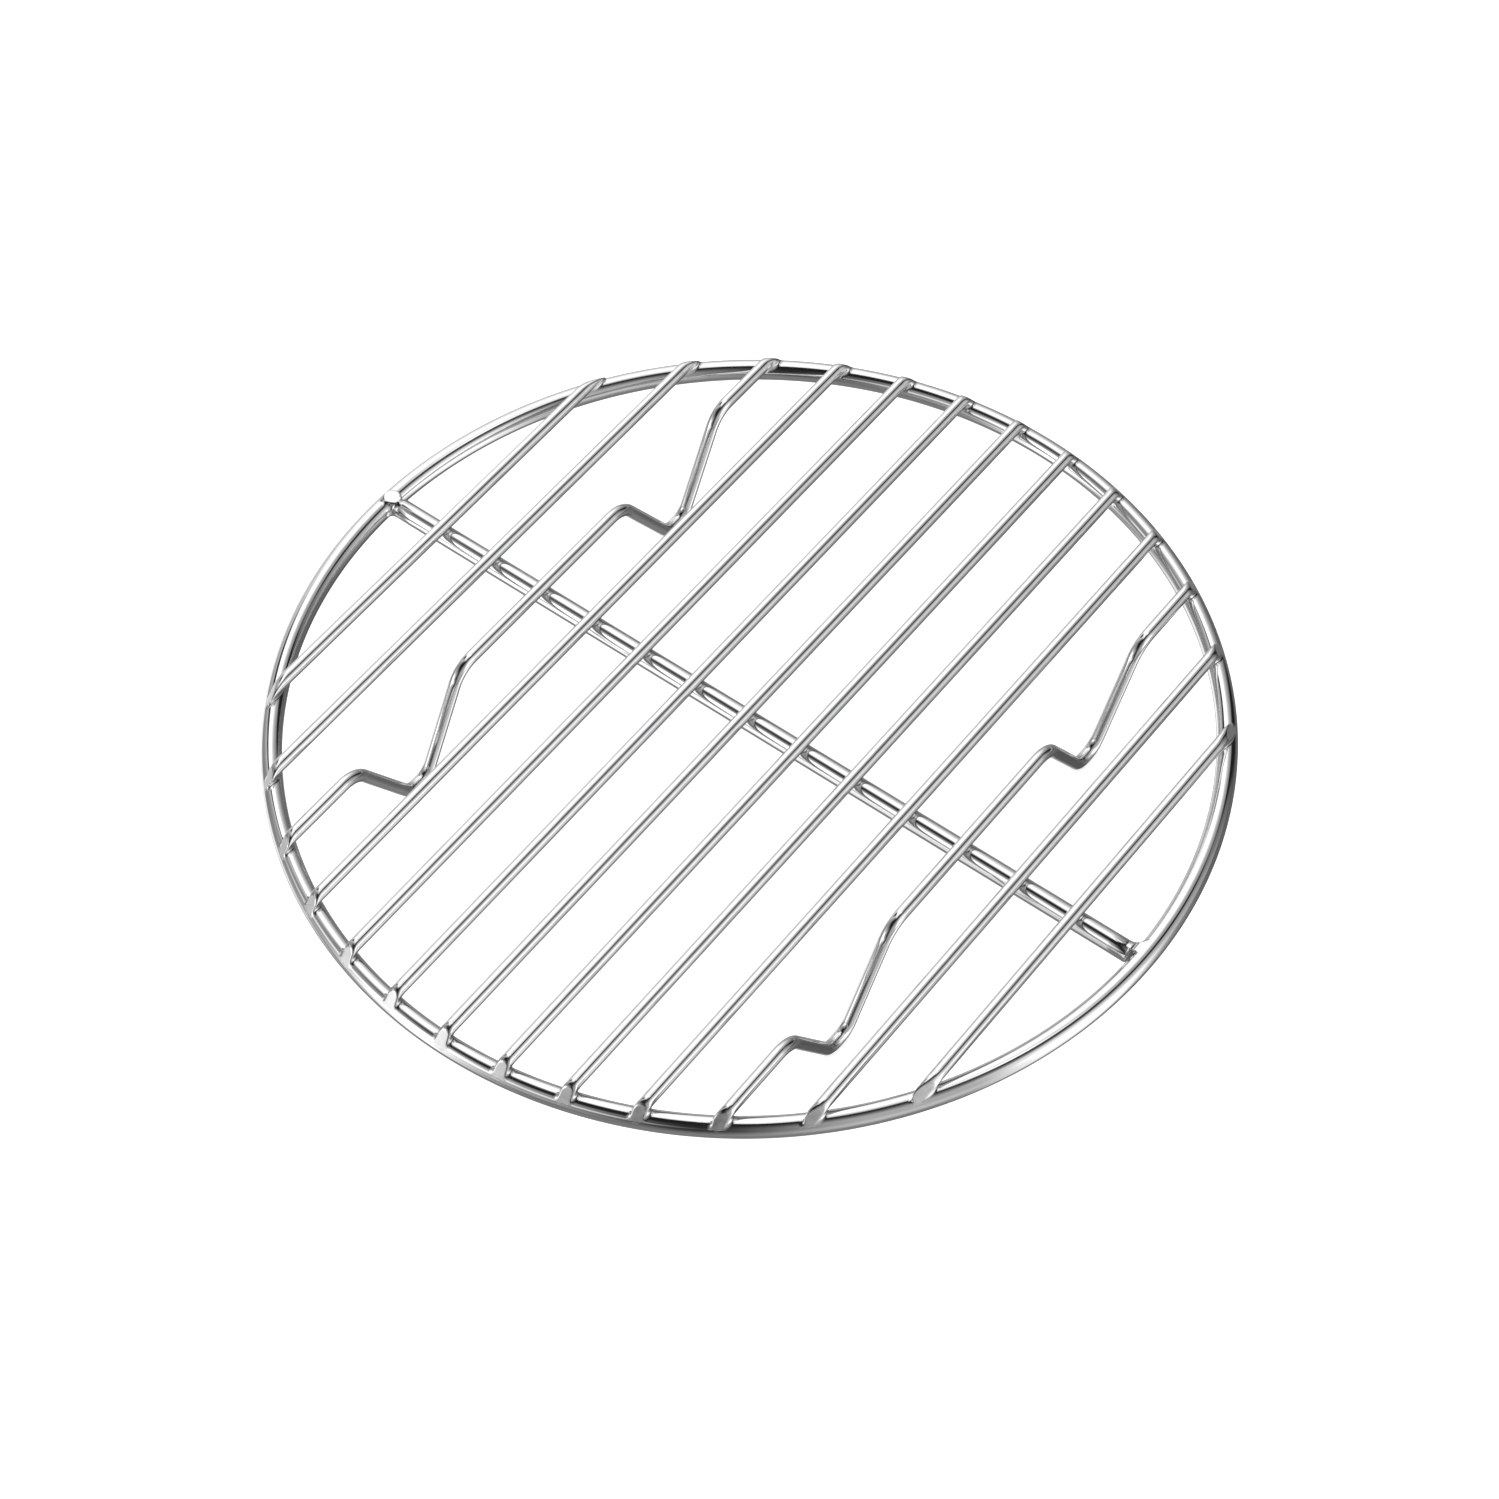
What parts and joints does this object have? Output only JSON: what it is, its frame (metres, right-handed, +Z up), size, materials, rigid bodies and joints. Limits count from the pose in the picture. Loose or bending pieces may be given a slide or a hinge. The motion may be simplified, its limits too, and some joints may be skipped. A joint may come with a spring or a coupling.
{
  "type": "cooling rack",
  "caption": "Round welded wire rack: parallel grid wires on a thick ring and cross bar, raised on V-shaped feet bent from two of the wires, for cooling or steaming food.",
  "frame": {"origin": "on the surface that the rack stands on, under the middle of the ring", "axes": "+Z up; +X along the cross bar, to the right; +Y along the grid wires, to the back"},
  "size_m": [0.19, 0.19, 0.0221],
  "materials": {
    "ring_steel": "bright polished stainless steel",
    "bar_steel": "bright polished stainless steel",
    "grid_steel": "bright polished stainless steel",
    "weld_steel": "polished weld metal, slightly duller than the wires"
  },
  "bodies": {
    "root": {"outer_ring": "ring_steel", "cross_bar": "bar_steel", "cross_bar_weld_left": "weld_steel", "cross_bar_weld_right": "weld_steel", "leg_wire_left": "grid_steel", "leg_wire_right": "grid_steel", "grid_wire_1": "grid_steel", "grid_wire_2": "grid_steel", "grid_wire_3": "grid_steel", "grid_wire_4": "grid_steel", "grid_wire_5": "grid_steel", "grid_wire_6": "grid_steel", "grid_wire_7": "grid_steel", "grid_wire_8": "grid_steel", "grid_wire_9": "grid_steel", "grid_wire_10": "grid_steel", "grid_wire_11": "grid_steel"}
  },
  "joints": []
}
